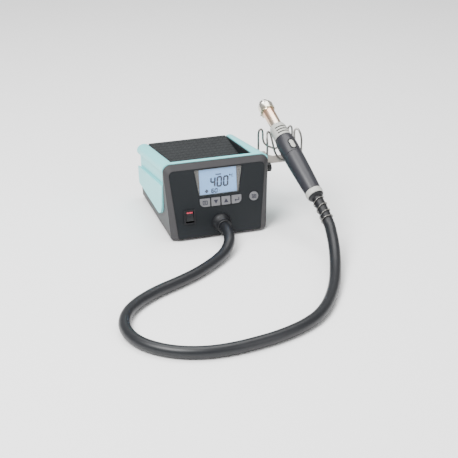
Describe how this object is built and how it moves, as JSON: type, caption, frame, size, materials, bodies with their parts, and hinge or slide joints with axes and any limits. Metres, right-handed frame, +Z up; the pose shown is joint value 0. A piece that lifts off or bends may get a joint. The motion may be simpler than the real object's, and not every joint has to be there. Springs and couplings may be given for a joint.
{
  "type": "hot air rework station",
  "caption": "Bench hot air station with tool tray, display, keys and power switch, a side wire holder and a hot air handset on a flexible hose.",
  "frame": {"origin": "middle of the footprint of the station, holder and handset without the hose, on the bench surface", "axes": "+Z up, -Y towards the user in front of the panel, +X to the right, on the holder side"},
  "size_m": [0.3044, 0.4397, 0.1435],
  "materials": {
    "teal_cover": "fine-textured pale teal ABS",
    "housing_plastic": "anthracite moulded ABS, fine spark texture",
    "panel_plastic": "very dark satin front panel",
    "rubber": "matte black rubber",
    "mat_rubber": "dark grey rubber mat with a raised grid",
    "key_plastic": "light grey keys with dark printed symbols",
    "window": "clear window with a grey border",
    "lcd": "pale blue liquid crystal display",
    "circuit": "green solder mask with tinned pads",
    "steel": "bright drawn steel",
    "hot_steel": "stainless tube with straw and copper heat tint",
    "plate": "beige-grey sheet steel",
    "handle_plastic": "dark grey satin handle",
    "light_plastic": "light grey moulded plastic",
    "black_plastic": "black plastic, red print on the rocker",
    "copper": "lacquered copper winding and dark core",
    "ceramic": "mica and ceramic former with element wire",
    "foam": "open-cell filter foam",
    "hose_rubber": "satin dark grey silicone hose"
  },
  "bodies": {
    "station": {"base_housing": "housing_plastic", "top_cover": "teal_cover", "tool_tray": "panel_plastic", "tray_mat": "mat_rubber", "rear_panel": "housing_plastic", "front_panel": "panel_plastic", "display_window": "window", "lcd_module": "lcd", "display_board": "circuit", "switch_housing": "black_plastic", "hose_gland": "black_plastic", "gland_nut": "black_plastic", "turbine_housing": "black_plastic", "turbine_motor": "steel", "air_duct": "rubber", "main_board": "circuit", "transformer": "copper", "mains_inlet": "black_plastic", "earth_socket": "steel", "air_filter": "foam", "holder_plate": "plate", "cradle_front": "steel", "cradle_rear": "steel", "hose": "hose_rubber", "rubber_foot_1": "rubber", "housing_screw_1": "steel", "rubber_foot_2": "rubber", "housing_screw_2": "steel", "rubber_foot_3": "rubber", "housing_screw_3": "steel", "rubber_foot_4": "rubber", "housing_screw_4": "steel"},
    "rocker_body": {"power_rocker": "black_plastic"},
    "menu_key": {"key_menu": "key_plastic"},
    "down_key": {"key_down": "key_plastic"},
    "up_key": {"key_up": "key_plastic"},
    "enter_key": {"key_enter": "key_plastic"},
    "air_key": {"air_button": "key_plastic"},
    "knob": {"clamp_knob": "black_plastic", "clamp_screw": "steel"},
    "handset": {"handle_front": "handle_plastic", "handle_rear": "handle_plastic", "vent_collar": "light_plastic", "heater_tube": "hot_steel", "heater_core": "ceramic", "rear_ring": "light_plastic", "bend_relief": "black_plastic", "bend_spring": "steel", "control_board": "circuit"},
    "trigger": {"handset_button": "light_plastic"},
    "nozzle_body": {"nozzle": "steel", "nozzle_clamp": "steel"},
    "nozzle_screw": {"nozzle_clamp_screw": "steel"},
    "impeller": {"turbine_impeller": "light_plastic"},
    "fuse": {"fuse_drawer": "black_plastic"},
    "filter_cap": {"filter_cover": "black_plastic"}
  },
  "joints": [
    {"name": "power_rocker_tilt", "type": "hinge", "parent": "station", "child": "rocker_body", "pos_m": [-0.0675, -0.02986, 0.03102], "axis": [1, 0, 0], "range_deg": [0, 20]},
    {"name": "key_menu_press", "type": "slide", "parent": "station", "child": "menu_key", "axis": [0, 0.9906, -0.1364], "range_m": [0, 0.0012], "stiffness_N_per_m": 400, "springref_m": -0.0015},
    {"name": "key_down_press", "type": "slide", "parent": "station", "child": "down_key", "axis": [0, 0.9906, -0.1364], "range_m": [0, 0.0012], "stiffness_N_per_m": 400, "springref_m": -0.0015},
    {"name": "key_up_press", "type": "slide", "parent": "station", "child": "up_key", "axis": [0, 0.9906, -0.1364], "range_m": [0, 0.0012], "stiffness_N_per_m": 400, "springref_m": -0.0015},
    {"name": "key_enter_press", "type": "slide", "parent": "station", "child": "enter_key", "axis": [0, 0.9906, -0.1364], "range_m": [0, 0.0012], "stiffness_N_per_m": 400, "springref_m": -0.0015},
    {"name": "air_button_press", "type": "slide", "parent": "station", "child": "air_key", "axis": [0, 0.9906, -0.1364], "range_m": [0, 0.0012], "stiffness_N_per_m": 400, "springref_m": -0.0015},
    {"name": "clamp_knob_turn", "type": "hinge", "parent": "station", "child": "knob", "pos_m": [0.0468, -0.00696, 0.075], "axis": [1, 0, 0], "continuous": true},
    {"name": "handset_lift", "type": "slide", "parent": "station", "child": "handset", "axis": [0, -0.4909, 0.8712], "range_m": [0, 0.09], "deforming": ["hose"]},
    {"name": "handset_button_press", "type": "slide", "parent": "handset", "child": "trigger", "axis": [-0.0761, 0.4803, -0.8738], "range_m": [0, 0.001], "stiffness_N_per_m": 400, "springref_m": -0.0015},
    {"name": "nozzle_pull", "type": "slide", "parent": "handset", "child": "nozzle_body", "axis": [-0.1367, 0.863, 0.4863], "range_m": [0, 0.03]},
    {"name": "nozzle_clamp_screw_turn", "type": "hinge", "parent": "nozzle_body", "child": "nozzle_screw", "pos_m": [0.06337, 0.05947, 0.12176], "axis": [0.9877, 0.1564, 0], "continuous": true},
    {"name": "impeller_spin", "type": "hinge", "parent": "station", "child": "impeller", "pos_m": [-0.0067, 0.04024, 0.03], "axis": [0, 0, 1], "continuous": true},
    {"name": "fuse_drawer_slide", "type": "slide", "parent": "station", "child": "fuse", "axis": [0, 1, 0], "range_m": [0, 0.014]},
    {"name": "filter_cover_pull", "type": "slide", "parent": "station", "child": "filter_cap", "axis": [0, 1, 0], "range_m": [0, 0.02]}
  ]
}
